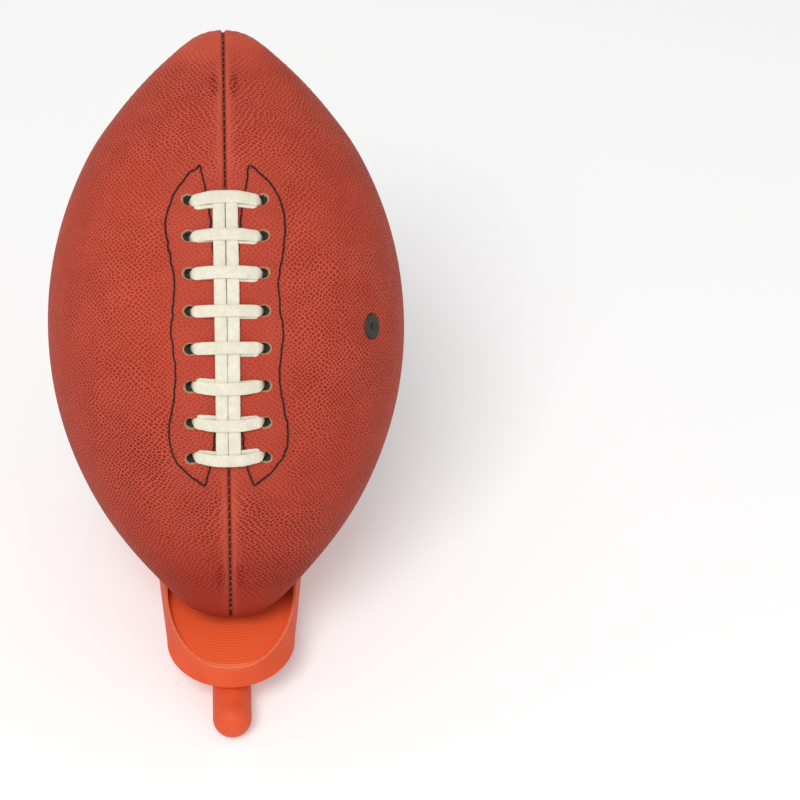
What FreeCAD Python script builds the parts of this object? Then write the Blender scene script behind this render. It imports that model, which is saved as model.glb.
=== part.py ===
import FreeCAD, Part
import math
import os

# A leather football that leans back in a printed cradle on a three-legged foot.
# Millimetres, +Z up, the floor at Z = 0, the laces facing -Y.

# Football
ball_length = 284.0
ball_diameter = 171.0
seam_arc = 170.0
panel_arc = 180.0
leather = 2.8
groove_depth = 1.7
lining_gap = 0.2
lining = 1.0
facing = 1.0
bladder_inset = 5.8
bladder_wall = 0.9
nose_hole = 1.2

# Lacing
bar_count = 8
bar_pitch = 5.66
bar_width = 5.6
bar_thick = 1.5
lace_width = 5.3
lace_thick = 1.2
hole_reach = 16.8
hole_across = 4.8
hole_along = 7.4

# Valve
valve_radius = 5.4
valve_turn = 52.0

# How the ball stands
lean = 37.5
nose_y = -66.99
nose_z = 29.0
ball_clearance = 0.5

# Cradle
rim_z = 30.0
tray_z = 19.8
tray_back = 62.0
rim_half = 30.8
rim_reach = 54.0
rim_centre = 19.7
land = 1.2
skirt_half = 31.0
skirt_reach = 31.5
skirt_centre = -5.9
tray_flare = 3.5
skirt_flare = 7.1
step_count = 24
step_rise = 0.28
step_shift = 2.1
step_radius = 34.0
rest_wall = 5.0
rest_from = 24.0
rest_to = 62.0
rest_spread = 38.0
hub_z = 1.0

# Legs
leg_radius = 9.25
leg_axis_z = 8.6
tenon_radius = 6.0
tenon_length = 14.0
socket_clearance = 0.15
front_shoulder = 16.0
front_leg_length = 62.5
rear_leg_length = 52.0
rear_heading = 26.6
rear_end_x = 45.2
rear_end_y = 106.3

V = FreeCAD.Vector
ACROSS = V(1, 0, 0)
UP = V(0, 0, 1)
half_length = ball_length / 2
half_width = ball_diameter / 2
seam_centre = seam_arc - half_width


def rad(angle):
    return math.radians(angle)


def meridian(arc, inset, hole):
    """Points of one meridian, nose to nose: arc of the belly with a rounded nose at each end."""
    centre = arc - half_width
    nose = (arc ** 2 - centre ** 2 - half_length ** 2) / (2 * (arc - half_length))
    nose_at = half_length - nose
    turn = math.atan2(nose_at, centre)
    end = math.acos(hole / (nose - inset))
    middle = (turn + end) / 2
    tip = (hole, nose_at + (nose - inset) * math.sin(end))
    cap = ((nose - inset) * math.cos(middle), nose_at + (nose - inset) * math.sin(middle))
    join = ((arc - inset) * math.cos(turn) - centre, (arc - inset) * math.sin(turn))
    belly = (half_width - inset, 0)
    lower = [(radius, -z) for radius, z in (join, cap, tip)]
    return [tip, cap, join, belly] + lower


def at(point, angle):
    radius, z = point
    return V(radius * math.cos(rad(angle)), radius * math.sin(rad(angle)), z)


def meridian_edges(points, angle):
    spots = [at(point, angle) for point in points]
    return [Part.Arc(spots[k], spots[k + 1], spots[k + 2]).toShape() for k in (0, 2, 4)]


def section(arc, outer, inner, angle):
    """Closed outline of a shell in the half-plane at one angle."""
    out = meridian(arc, outer, nose_hole)
    back = meridian(arc, inner, nose_hole)
    edges = meridian_edges(out, angle)
    edges.append(Part.makeLine(at(out[-1], angle), at(back[-1], angle)))
    edges += meridian_edges(back[::-1], angle)
    edges.append(Part.makeLine(at(back[0], angle), at(out[0], angle)))
    return Part.Wire(edges)


def quarter_shell(start, outer, inner, groove, gap):
    """One of four shells between two seams, fuller between the seams than along them."""
    wires = []
    for step in (gap, 1.0, 2.4, 9, 24, 45, 66, 81, 87.6, 89.0, 90 - gap):
        from_seam = min(step, 90 - step)
        full = (1 - math.cos(rad(4 * step))) / 2
        arc = seam_arc + (panel_arc - seam_arc) * full
        sunk = groove * max(0.0, 1 - from_seam / 2.4) ** 1.5
        wires.append(section(arc, outer + sunk, inner, start + step))
    return Part.makeLoft(wires, True, False)


def turned(arc, inset):
    """Solid of revolution of one meridian about the ball's axis."""
    points = meridian(arc, inset, 0.0)
    edges = meridian_edges(points, 0)
    edges.append(Part.makeLine(at(points[-1], 0), at(points[0], 0)))
    return Part.Face(Part.Wire(edges)).revolve(V(0, 0, 0), UP, 360)


def seat(shape):
    """Lean the ball back and stand its nose over the cradle."""
    centre = V(0, nose_y + half_length * math.sin(rad(lean)), nose_z + half_length * math.cos(rad(lean)))
    placed = shape.copy()
    placed.Placement = FreeCAD.Placement(centre, FreeCAD.Rotation(ACROSS, -lean)).multiply(placed.Placement)
    return placed


def on_lace(shape, angle):
    """Carry a shape drawn flat (x across, y along, z out) to its place on the laced seam."""
    spot = V(0, seam_centre - seam_arc * math.cos(rad(angle)), seam_arc * math.sin(rad(angle)))
    placed = shape.copy()
    placed.Placement = FreeCAD.Placement(spot, FreeCAD.Rotation(ACROSS, 90 - angle)).multiply(placed.Placement)
    return placed


def lace_angle(number):
    return (number - (bar_count - 1) / 2) * bar_pitch


def along_seam(outline, low, high):
    """Sweep an outline (x across, y outward radius) along the seam's arc."""
    face = Part.Face(Part.makePolygon([V(x, seam_centre - radius, 0) for x, radius in outline + outline[:1]]))
    face.rotate(V(0, seam_centre, 0), ACROSS, -high)
    return face.revolve(V(0, seam_centre, 0), ACROSS, high - low)


def thread(low, high):
    ring = Part.makeCircle(0.35, V(0, seam_centre - seam_arc + 0.75, 0), UP)
    face = Part.Face(Part.Wire([ring]))
    face.rotate(V(0, seam_centre, 0), ACROSS, -high)
    return face.revolve(V(0, seam_centre, 0), ACROSS, high - low)


def lace_bar():
    """One cross bar: a strap that rises over the long laces and dives into a hole at each end."""
    low = lace_thick + 1.0
    reach = hole_reach
    half = bar_thick / 2
    top = [V(-reach - half, 0, 0.6), V(-reach + 3, 0, 2.0), V(-5.5, 0, low + bar_thick - 0.1)]
    top += [V(0, 0, low + bar_thick + 0.15)]
    top += [V(-spot.x, 0, spot.z) for spot in top[2::-1]]
    below = [V(-reach + half, 0, -0.1), V(-reach + 3.4, 0, 0.45), V(-5.9, 0, low)]
    below += [V(0, 0, low + 0.15)]
    below += [V(-spot.x, 0, spot.z) for spot in below[2::-1]]
    upper = Part.BSplineCurve()
    upper.interpolate(top)
    lower = Part.BSplineCurve()
    lower.interpolate(below)
    left = [top[0], V(top[0].x, 0, -5), V(below[0].x, 0, -5), below[0]]
    right = [V(-spot.x, 0, spot.z) for spot in left]
    edges = [upper.toShape(), lower.toShape()]
    for side in (left, right):
        edges += [Part.makeLine(side[k], side[k + 1]) for k in range(3)]
    outline = Part.Wire(Part.__sortEdges__(edges))
    bar = Part.Face(outline).extrude(V(0, bar_width, 0))
    bar.translate(V(0, -bar_width / 2, 0))
    return bar


def lace_holes(side):
    tools = []
    for number in range(bar_count):
        hole = Part.makeBox(hole_across, hole_along, 16, V(-hole_across / 2, -hole_along / 2, -11))
        hole = hole.makeFillet(1.6, [edge for edge in hole.Edges if abs(edge.tangentAt(0).z) > 0.9])
        hole.translate(V(side * hole_reach, 0, 0))
        tools.append(on_lace(hole, lace_angle(number)))
    return Part.Compound(tools)


def upright(radius, depth, height):
    """Cylinder at the valve, from depth below the leather's face to height above it."""
    angle = valve_turn - 90
    out = V(math.cos(rad(angle)), math.sin(rad(angle)), 0)
    return Part.makeCylinder(radius, depth + height, out * (half_width - depth), out)


def facing_patch(side):
    """Backing strip sewn behind the lace holes of one panel."""
    outer = seam_arc - leather - lining_gap * 2 - lining
    inner = outer - facing
    spread = 25.0
    spots = [V(radius * math.cos(rad(a)) - seam_centre, 0, radius * math.sin(rad(a)))
             for radius, a in ((outer, spread), (outer, 0), (outer, -spread),
                               (inner, -spread), (inner, 0), (inner, spread))]
    edges = [Part.Arc(*spots[:3]).toShape(), Part.makeLine(spots[2], spots[3])]
    edges += [Part.Arc(*spots[3:]).toShape(), Part.makeLine(spots[5], spots[0])]
    patch = Part.Face(Part.Wire(edges)).revolve(V(0, 0, 0), UP, 20)
    start = -90 + 1.2
    if side < 0:
        start = -90 - 21.2
    patch.rotate(V(0, 0, 0), UP, start)
    return patch.cut(lace_holes(side))


def outline(half, reach, centre, flare, z):
    """Plan of the tray: a half ellipse in front, sides that flare gently to a straight back."""
    curve = Part.Ellipse(V(0, centre - reach, z), V(half, centre, z), V(0, centre, z))
    nose = Part.ArcOfEllipse(curve, -math.pi / 2, math.pi / 2).toShape()
    ends = [vertex.Point for vertex in nose.Vertexes]
    ends.sort(key=lambda spot: spot.x)
    back = [V(-half - flare, tray_back, z), V(half + flare, tray_back, z)]
    lines = [Part.makeLine(ends[1], back[1]), Part.makeLine(back[1], back[0]), Part.makeLine(back[0], ends[0])]
    return Part.Wire(Part.__sortEdges__([nose] + lines))


def terrace(number):
    """Space over one step of the dish: each step is lower and starts further back."""
    top = rim_z - 0.5 - number * step_rise
    front = rim_centre - rim_reach + 1.2 + number * step_shift
    centre = front + step_radius
    room = Part.Face(outline(rim_half, rim_reach, rim_centre, tray_flare, top)).extrude(V(0, 0, rim_z + 2 - top))
    left = V(-step_radius, centre, top)
    right = V(step_radius, centre, top)
    arc = Part.Arc(left, V(0, front, top), right).toShape()
    far = [right, V(step_radius, 90, top), V(-step_radius, 90, top), left]
    wire = Part.Wire([arc] + [Part.makeLine(far[k], far[k + 1]) for k in range(3)])
    return room.common(Part.Face(wire).extrude(V(0, 0, rim_z + 2 - top)))


def back_rest():
    """Curved shell behind the ball, turned about the ball's own axis."""
    centre = panel_arc - half_width
    inner = panel_arc + ball_clearance
    outer = inner + rest_wall
    low = math.asin((half_length - rest_from) / panel_arc)
    high = math.asin((half_length - rest_to) / panel_arc)
    middle = (low + high) / 2
    lip = inner + rest_wall / 2

    def spot(radius, angle):
        return V(radius * math.cos(angle) - centre, 0, -radius * math.sin(angle))

    edges = [Part.Arc(spot(inner, low), spot(inner, middle), spot(inner, high)).toShape()]
    edges.append(Part.Arc(spot(inner, high), spot(lip, high - 0.5 * rest_wall / lip), spot(outer, high)).toShape())
    edges.append(Part.Arc(spot(outer, high), spot(outer, middle), spot(outer, low)).toShape())
    edges.append(Part.makeLine(spot(outer, low), spot(inner, low)))
    shell = Part.Face(Part.Wire(edges)).revolve(V(0, 0, 0), UP, 2 * rest_spread)
    shell.rotate(V(0, 0, 0), UP, 90 - rest_spread)
    return shell


def leg(length, shoulder, heading):
    """Round leg with a domed end, a tenon at the root and a flat to stand on."""
    body = Part.makeCylinder(leg_radius, length, V(0, 0, 0), ACROSS)
    body = body.fuse(Part.makeSphere(leg_radius, V(length, 0, 0)))
    body = body.fuse(Part.makeCylinder(tenon_radius, tenon_length, V(-tenon_length, 0, 0), ACROSS))
    below = Part.makeBox(length + 60, 40, 20, V(-30, -20, -20 - leg_axis_z))
    body = body.cut(below).removeSplitter()
    body.rotate(V(0, 0, 0), UP, heading)
    body.translate(V(shoulder.x, shoulder.y + nose_y, leg_axis_z))
    return body


def socket(shoulder, heading):
    way = V(math.cos(rad(heading)), math.sin(rad(heading)), 0)
    depth = tenon_length + 0.5
    return Part.makeCylinder(tenon_radius + socket_clearance, depth + 5, shoulder + UP * leg_axis_z - way * depth, way)


def rear_shoulder(side):
    way = V(side * math.sin(rad(rear_heading)), math.cos(rad(rear_heading)), 0)
    return V(side * rear_end_x, rear_end_y, 0) - way * rear_leg_length


def prism(points, low, high):
    wire = Part.makePolygon([V(x, y, low) for x, y in points + points[:1]])
    return Part.Face(wire).extrude(V(0, 0, high - low))


def cradle_shape():
    skirt = outline(skirt_half, skirt_reach, skirt_centre, skirt_flare, tray_z)
    rim = outline(rim_half + land, rim_reach + land, rim_centre, tray_flare + 2, rim_z)
    tray = Part.makeLoft([skirt, rim], True, True)
    for number in range(step_count):
        tray = tray.cut(terrace(number))
    root = rear_shoulder(1)
    across = V(math.cos(rad(rear_heading)), -math.sin(rad(rear_heading)), 0) * (leg_radius + 0.8)
    outer_corner = root + across
    inner_corner = root - across
    right = [(12, front_shoulder), (outer_corner.x, outer_corner.y), (inner_corner.x, inner_corner.y)]
    left = [(-x, y) for x, y in right[::-1]]
    hub = prism(right + left, hub_z, tray_z + 1)
    web_side = [(20, tray_z), (inner_corner.y, 14), (82, 40), (60, 30), (40, 24), (20, 22)]
    web = Part.Face(Part.makePolygon([V(-11, y, z) for y, z in web_side + web_side[:1]])).extrude(V(22, 0, 0))
    rest = seat(back_rest())
    rest.translate(V(0, -nose_y, 0))
    ball_room = seat(turned(panel_arc, -ball_clearance))
    ball_room.translate(V(0, -nose_y, 0))
    whole = tray.fuse([hub, web, rest]).cut(ball_room)
    whole = whole.cut(socket(V(0, front_shoulder, 0), -90))
    for side in (-1, 1):
        whole = whole.cut(socket(rear_shoulder(side), 90 - side * rear_heading))
    whole = whole.removeSplitter()
    whole.translate(V(0, nose_y, 0))
    return whole


nodes = {}

# Four leather panels and their linings, counted round from the laced seam
for name, start in (("front_right", -90), ("rear_right", 0), ("rear_left", 90), ("front_left", 180)):
    panel = quarter_shell(start, 0.0, leather, groove_depth, 0.1)
    lined = leather + lining_gap
    liner = quarter_shell(start, lined, lined + lining, 0.0, 0.4)
    if name.startswith("front"):
        side = 1 if name.endswith("right") else -1
        panel = panel.cut(lace_holes(side))
        liner = liner.cut(lace_holes(side))
    if name == "front_right":
        panel = panel.cut(upright(valve_radius + 0.15, 9, 5))
        liner = liner.cut(upright(valve_radius + 0.15, 9, 5))
    nodes["panel_" + name] = seat(panel)
    nodes["lining_" + name] = seat(liner)

bladder = turned(seam_arc, bladder_inset).cut(turned(seam_arc, bladder_inset + bladder_wall))
nodes["bladder"] = seat(bladder)

valve = upright(valve_radius, leather + lining_gap + lining, 0.1)
needle_angle = valve_turn - 90
needle_way = V(math.cos(rad(needle_angle)), math.sin(rad(needle_angle)), 0)
valve = valve.cut(Part.makeCone(0.3, 1.7, 2.2, needle_way * (half_width - 1.9), needle_way))
nodes["valve"] = seat(valve)

# Lacing: two long laces under a ladder of cross bars, with a backing patch behind each row of holes
lace_end = lace_angle(bar_count - 1) + 0.9
lace_low = seam_arc + 0.6
for name, side in (("left", -1), ("right", 1)):
    strip = [(side * 0.15, lace_low), (side * (0.15 + lace_width), lace_low),
             (side * (0.15 + lace_width), lace_low + lace_thick), (side * 0.15, lace_low + lace_thick)]
    nodes["lace_long_" + name] = seat(along_seam(strip, -lace_end, lace_end))
    nodes["facing_" + name] = seat(facing_patch(side))
for number in range(bar_count):
    nodes["lace_bar_%d" % (number + 1)] = seat(on_lace(lace_bar(), lace_angle(bar_count - 1 - number)))

# Seam threads, in two lengths on the laced seam
reach = 51.0
open_end = lace_end + 1.6
front = Part.Compound([thread(open_end, reach), thread(-reach, -open_end)])
nodes["seam_thread_front"] = seat(front)
for name, turn in (("right", 90), ("rear", 180), ("left", 270)):
    seam = thread(-reach, reach)
    seam.rotate(V(0, 0, 0), UP, turn)
    nodes["seam_thread_" + name] = seat(seam)

nodes["cradle"] = cradle_shape()
nodes["front_leg"] = leg(front_leg_length, V(0, front_shoulder, 0), -90)
for name, side in (("left", -1), ("right", 1)):
    nodes["rear_leg_" + name] = leg(rear_leg_length, rear_shoulder(side), 90 - side * rear_heading)

os.makedirs("parts", exist_ok=True)
for name, shape in nodes.items():
    shape.exportStep("parts/%s.step" % name)
    print(name, shape.isValid(), len(shape.Solids), round(shape.Volume))

whole = Part.Compound(list(nodes.values())).optimalBoundingBox()
print("box", [round(v, 2) for v in (whole.XMin, whole.XMax, whole.YMin, whole.YMax, whole.ZMin, whole.ZMax)])
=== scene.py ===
# %% [markdown]
# # A leather football in a printed cradle
# The object is a laced leather ball that leans back in a small printed stand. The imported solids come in
# as a fixed frame. Materials alone could dress them, but leather, lace and thread have more form than
# plain solids hold. So those pieces are drawn again, each in its solid's place, and the stand keeps its
# solids.

# %% Load the frame
import bpy
import math
import numpy as np
from mathutils import Matrix, Vector


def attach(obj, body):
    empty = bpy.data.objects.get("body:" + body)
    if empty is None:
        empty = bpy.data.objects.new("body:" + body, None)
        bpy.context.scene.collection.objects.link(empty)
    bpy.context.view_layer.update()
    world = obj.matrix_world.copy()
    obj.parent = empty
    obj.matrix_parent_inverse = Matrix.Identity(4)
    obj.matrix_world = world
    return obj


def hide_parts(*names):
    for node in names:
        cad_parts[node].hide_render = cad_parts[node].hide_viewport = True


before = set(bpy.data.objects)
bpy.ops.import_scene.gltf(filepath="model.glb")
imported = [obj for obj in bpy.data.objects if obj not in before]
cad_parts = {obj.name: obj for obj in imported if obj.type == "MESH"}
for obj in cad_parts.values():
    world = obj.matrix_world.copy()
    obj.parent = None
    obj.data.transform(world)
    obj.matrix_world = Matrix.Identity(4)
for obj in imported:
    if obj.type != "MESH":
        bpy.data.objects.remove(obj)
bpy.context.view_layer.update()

# %% [markdown]
# ## The ball's own axes
# The ball leans back, so nothing on it lines up with the room. A tilted parent object could carry it, but
# the frame's pieces sit at the origin with their place in their mesh. So every point is worked out in the
# ball's own millimetres, where z is the long axis and the laces face -y, and one function puts it in the
# room in metres.

# %% Ball axes
LEAN = math.radians(37.5)
NOSE = np.array([0.0, -66.99, 29.0])  # the lower tip, over the dish, in the room's millimetres
HALF_LENGTH = 142.0
HALF_WIDTH = 85.5
ACROSS = np.array([1.0, 0.0, 0.0])
BACK = np.array([0.0, math.cos(LEAN), -math.sin(LEAN)])
AXIS = np.array([0.0, math.sin(LEAN), math.cos(LEAN)])
CENTRE = NOSE + HALF_LENGTH * AXIS


def to_row(points):
    """Ball millimetres to the room's metres."""
    points = np.asarray(points, dtype=float)
    placed = CENTRE + points[..., :1] * ACROSS + points[..., 1:2] * BACK + points[..., 2:3] * AXIS
    return placed / 1000.0


print("ball centre", CENTRE.round(1))

# %% [markdown]
# ## The smooth ball
# A football is four panels sewn tip to tip. Its side view is a long arc with a small round nose at each
# end. A stretched sphere is too blunt at the tips, so the outline is drawn from those two arcs. Air makes
# each panel fuller along its middle than at its seams, and so is the arc there.

# %% Smooth ball
SEAM_ARC = 170.0  # radius of the long arc along a seam
PANEL_ARC = 180.0  # and along the middle of a panel
QUARTER = math.pi / 2


def meridian(arc, tilt):
    """Radius and height on the outline, where its normal is tilted up from level by so many radians."""
    middle = arc - HALF_WIDTH
    nose = (arc ** 2 - middle ** 2 - HALF_LENGTH ** 2) / (2 * (arc - HALF_LENGTH))
    nose_at = HALF_LENGTH - nose
    on_nose = np.abs(tilt) > np.arctan2(nose_at, middle)
    radius = np.where(on_nose, nose * np.cos(tilt), arc * np.cos(tilt) - middle)
    height = np.where(on_nose, np.sign(tilt) * nose_at + nose * np.sin(tilt), arc * np.sin(tilt))
    return radius, height


def smooth_ball(tilt, turn):
    """Points, outward ways and distance to the nearest seam. turn goes round from the laced seam."""
    tilt, turn = np.broadcast_arrays(np.asarray(tilt, dtype=float), np.asarray(turn, dtype=float))
    from_seam = np.abs((turn + QUARTER / 2) % QUARTER - QUARTER / 2)
    fuller = (1 - np.cos(4 * turn)) / 2
    radius, height = meridian(SEAM_ARC + (PANEL_ARC - SEAM_ARC) * fuller, tilt)
    angle = turn - QUARTER
    level = np.cos(tilt)
    out = np.stack([level * np.cos(angle), level * np.sin(angle), np.sin(tilt)], axis=-1)
    spot = np.stack([radius * np.cos(angle), radius * np.sin(angle), height], axis=-1)
    return spot, out, radius * from_seam


print("middle of a panel", smooth_ball(0.0, QUARTER / 2)[0].round(2))

# %% [markdown]
# ## How sewing pulls the leather
# Along a seam the leather rolls down into a groove and puckers at every stitch, and between the seams it
# is never quite even. A bump map would vanish at the outline, so the relief is real: it moves the points
# in and out. The tips are drawn slimmer in the same way.

# %% Sewn leather
STITCH_PITCH = 4.2  # from one seam stitch to the next
NOSE_TILT, NOSE_RADIUS = 0.93, 28  # where the round nose begins, and its size
GROOVES = ((1.5, 1.1), (0.8, 4.5))  # depth and reach: the crease itself, and the roll down to it
PUCKER, PUCKER_REACH = 0.16, 2.6
WAVE, WAVE_REACH = 0.16, 12
TIP_FROM, TIP_TO = 80, 124  # heights between which the tips slim down
UPPER_SLIM, LOWER_SLIM, SLIM_REACH = 2.3, 0.4, 5.0


def smoothstep(low, high, value):
    t = np.clip((value - low) / (high - low), 0, 1)
    return t * t * (3 - 2 * t)


def fade(distance, reach):
    """1 on a line, and next to nothing at twice the reach from it."""
    return np.exp(-(distance / reach) ** 2)


def sewn_leather(tilt, turn):
    """The smooth ball with its grooves, puckers, slow waves and slimmer tips."""
    spot, out, gap = smooth_ball(tilt, turn)
    height = spot[..., 2]
    on_arc = np.clip(tilt, -NOSE_TILT, NOSE_TILT)
    along = SEAM_ARC * on_arc + NOSE_RADIUS * (tilt - on_arc)
    groove = sum(depth * fade(gap, reach) for depth, reach in GROOVES)
    pucker = PUCKER * np.cos(2 * math.pi * along / STITCH_PITCH) * fade(gap, PUCKER_REACH)
    wave = WAVE * np.sin(along / 17 + 3 * turn) * np.sin(5 * turn + along / 31)
    slim = np.where(height > 0, UPPER_SLIM, LOWER_SLIM) * smoothstep(TIP_FROM, TIP_TO, np.abs(height))
    relief = wave * (1 - fade(gap, WAVE_REACH)) - groove - pucker - slim * (1 - fade(gap, SLIM_REACH))
    return spot + out * relief[..., None], out, gap


print("depth of the crease", round(sum(depth for depth, reach in GROOVES), 2))

# %% [markdown]
# ## Meshes from grids
# Every piece below is a sheet or a tube, so its points lie in rows and columns. Blender's own grids and
# curves could make them, but a mesh from plain lists keeps the faces flowing along the form. It can also
# carry masks: numbers on the points that a material reads later.

# %% Mesh helpers
def make_piece(name, points, faces, masks=None):
    mesh = bpy.data.meshes.new(name)
    mesh.from_pydata([tuple(p) for p in points], [], faces)
    for key, values in (masks or {}).items():
        values = np.asarray(values, dtype=np.float32)
        single = values.ndim == 1
        layer = mesh.attributes.new(key, "FLOAT" if single else "FLOAT_VECTOR", "POINT")
        layer.data.foreach_set("value" if single else "vector", values.ravel())
    mesh.update()
    mesh.shade_smooth()
    piece = bpy.data.objects.new(name, mesh)
    bpy.context.scene.collection.objects.link(piece)
    return piece


def grid_faces(rows, columns, wrap=False, start=0):
    faces = []
    for i in range(rows - 1):
        a = start + i * columns
        for j in range(columns if wrap else columns - 1):
            k = (j + 1) % columns
            faces.append((a + j, a + k, a + columns + k, a + columns + j))
    return faces


def put_on_ball(piece, node=None):
    """Let a piece ride on the ball's cover, in place of a solid where it stands for one."""
    if node:
        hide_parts(node)
    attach(piece, "ball_cover")
    return piece


print("a grid of 3 by 4 points has", len(grid_faces(3, 4)), "faces")

# %% [markdown]
# ## Rows and columns of a panel
# A panel is cut from one piece of hide. An even grid fine enough for the lace holes would be very heavy,
# and subdividing only some faces leaves bad joins. So the spacing changes from stretch to stretch: fine
# at the seams, the lace holes and the valve, and wide elsewhere.

# %% Panel grid
EDGE = 0.0004  # a hair's gap at the seams, so that two panels never share a face
NEAR_TIP = 1.5666  # rows stop just short of the very tip
LACED_TILT = 0.42  # the lacing lies within this tilt
SEAM_STEP, HOLE_STEP, VALVE_STEP, PLAIN_STEP = 0.006, 0.0072, 0.0075, 0.017
PANEL_START = {"front_right": 0.0, "rear_right": QUARTER, "rear_left": math.pi}
# From the lower tip to the upper one: a start, and then where each stretch ends and its spacing.
FRONT_ROWS = [-NEAR_TIP, (-NOSE_TILT, 0.02), (-LACED_TILT, 0.0075), (LACED_TILT, 0.0036),
              (NOSE_TILT, 0.0095), (NEAR_TIP, 0.02)]
REAR_ROWS = [-NEAR_TIP, (-NOSE_TILT, 0.02), (NOSE_TILT, 0.0085), (NEAR_TIP, 0.02)]


def spaced(stops):
    """Samples along a line whose spacing changes from stretch to stretch."""
    values = [stops[0]]
    for end, step in stops[1:]:
        count = max(2, int(round(abs(end - values[-1]) / step)))
        values += list(np.linspace(values[-1], end, count + 1)[1:])
    return np.array(values)


def panel_turns(name):
    """Angles across a panel. The front left one is the mirror of a front right one."""
    holes = HOLE_STEP if name.startswith("front") else PLAIN_STEP
    valve_part = VALVE_STEP if name == "front_right" else PLAIN_STEP
    columns = spaced([EDGE, (0.06, SEAM_STEP), (0.30, holes), (0.82, PLAIN_STEP), (1.0, valve_part),
                      (1.51, PLAIN_STEP), (QUARTER - EDGE, SEAM_STEP)])
    return -columns[::-1] if name == "front_left" else PANEL_START[name] + columns


print("rows", len(spaced(FRONT_ROWS)), "columns", len(panel_turns("front_right")))

# %% [markdown]
# ## Lace holes and the valve's well
# Eight holes on each side of the laced seam are punched through the leather, and the valve sits in a ninth.
# Boolean cuts would leave ragged triangles. Here the fine grid is pushed in to make a pit with a small
# raised lip, and the distance to the hole is kept, so that the material can paint a raw rim and painted
# shade on the pit's floor.

# %% Openings
BAR_COUNT = 8
BAR_PITCH = math.radians(5.66)
HOLE_MIDDLE = 16.6  # from the laced seam to the middle of a hole
HOLE_HALF_WIDE, HOLE_HALF_TALL = 2.6, 2.3
HOLE_DEEP, HOLE_EDGE = 4.6, (0.86, 1.06)
LIP_HIGH, LIP_AT, LIP_REACH = 0.3, 1.15, 0.12
NO_HOLE = 3.0  # a distance that no hole's paint reaches
VALVE_TURN = math.radians(52.0)
WELL_DEEP, WELL_EDGE = 2.2, (5.2, 6.0)
ROLL_DEEP, ROLL_AT, ROLL_REACH = 0.35, 6.2, 1.5


def bar_tilt(number):
    """Tilt of a cross bar, counted from the top."""
    return ((BAR_COUNT - 1) / 2 - number) * BAR_PITCH


def hole_distance(tilt, across):
    """Distance to the nearest hole's middle, as a share of the hole's size."""
    nearest = np.full_like(tilt, NO_HOLE)
    for number in range(BAR_COUNT):
        along = SEAM_ARC * (tilt - bar_tilt(number))
        reach = np.sqrt(((across - HOLE_MIDDLE) / HOLE_HALF_WIDE) ** 2 + (along / HOLE_HALF_TALL) ** 2)
        nearest = np.minimum(nearest, reach)
    return nearest


def press_holes(spot, out, from_hole):
    hole = 1 - smoothstep(*HOLE_EDGE, from_hole)
    lip = LIP_HIGH * fade(from_hole - LIP_AT, LIP_REACH)
    return spot - out * (HOLE_DEEP * hole - lip)[..., None]


def press_valve_well(spot, out, tilt, turn):
    away = np.sqrt((HALF_WIDTH * (turn - VALVE_TURN)) ** 2 + (SEAM_ARC * tilt) ** 2)
    well = 1 - smoothstep(*WELL_EDGE, away)
    return spot - out * (WELL_DEEP * well + ROLL_DEEP * fade(away - ROLL_AT, ROLL_REACH))[..., None]


print("top and bottom bars at", [round(SEAM_ARC * bar_tilt(k), 1) for k in (0, BAR_COUNT - 1)])

# %% [markdown]
# ## Where the leather is worn, plain, stained or painted with shade
# The hide is smoother at the tips and beside the lacing, where it also takes some painted shade from the
# laces. It is painted darker towards the lower tip and over the underside, as shade, and is stained near
# both ends of the laced seam. These places could be painted on an image. Here each is a mask on the
# points, worked out from where the point is, so that no image is needed.

# %% Leather masks
PLAIN_HALF_WIDE, PLAIN_HALF_TALL = 27.0, 78.0
STAIN_HEIGHTS = (112.0, -116.0)
STAIN_ASIDE, STAIN_WIDE, STAIN_TALL = 4.6, 2.4, 6.5
HIDE_APART = 400  # keeps the panels on different parts of the grain


def plain_beside_lacing(tilt, across):
    reach = np.maximum(across / PLAIN_HALF_WIDE, np.abs(SEAM_ARC * tilt) / PLAIN_HALF_TALL)
    return 1 - smoothstep(0.8, 1.12, reach)


def stained(spot):
    stain = np.zeros(spot.shape[:-1])
    aside = ((np.abs(spot[..., 0]) - STAIN_ASIDE) / STAIN_WIDE) ** 2
    for height in STAIN_HEIGHTS:
        reach = aside + ((spot[..., 2] - height) / STAIN_TALL) ** 2
        stain = np.maximum(stain, 1 - smoothstep(0.35, 1.3, reach))
    return stain


# low and under carry painted shade: the lower tip and the underside are painted darker; tip only quietens
# the grain.
def height_masks(height):
    return {"low": smoothstep(-88, -140, height), "under": smoothstep(60, -130, height),
            "tip": smoothstep(116, 135, np.abs(height))}


def place_on_hide(spot, tilt, turn):
    """Where each point lay on the flat hide, in millimetres, so that the grain isn't stretched."""
    smooth = smooth_ball(tilt, turn)[0]
    step = np.linalg.norm(np.diff(smooth, axis=0), axis=-1)
    length = np.concatenate([np.zeros((1, step.shape[1])), np.cumsum(step, axis=0)])
    middle = turn[0].mean()
    across = np.hypot(spot[..., 0], spot[..., 1]) * (turn - middle) + HIDE_APART * middle
    return np.stack([across, length - length[-1:] / 2, np.zeros_like(tilt)], axis=-1)


print("masks by height", list(height_masks(np.zeros(1))))

# %% [markdown]
# ## The four leather panels
# Each panel is a sheet of leather with a thickness. A Solidify modifier could give it one, but it would
# thicken the pits of the holes badly. So a second grid lies a fixed way under the first, and a wall joins
# the two all round the edge.

# %% Panels
LEATHER_THICK = 2.6
CREASE, ROLL = 0.6, 3.4  # how far the dark of a seam and its rolled edge reach


def sheet_faces(rows, columns):
    """An outer grid, an inner grid facing the other way, and the wall round their edge."""
    total = rows * columns
    outer = grid_faces(rows, columns)
    inner = [tuple(total + v for v in reversed(face)) for face in outer]
    border = list(range(columns)) + [i * columns + columns - 1 for i in range(1, rows)]
    border += [(rows - 1) * columns + j for j in range(columns - 2, -1, -1)]
    border += [i * columns for i in range(rows - 2, 0, -1)]
    walls = [(b, a, total + a, total + b) for a, b in zip(border, border[1:] + border[:1])]
    return outer + inner + walls


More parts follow.
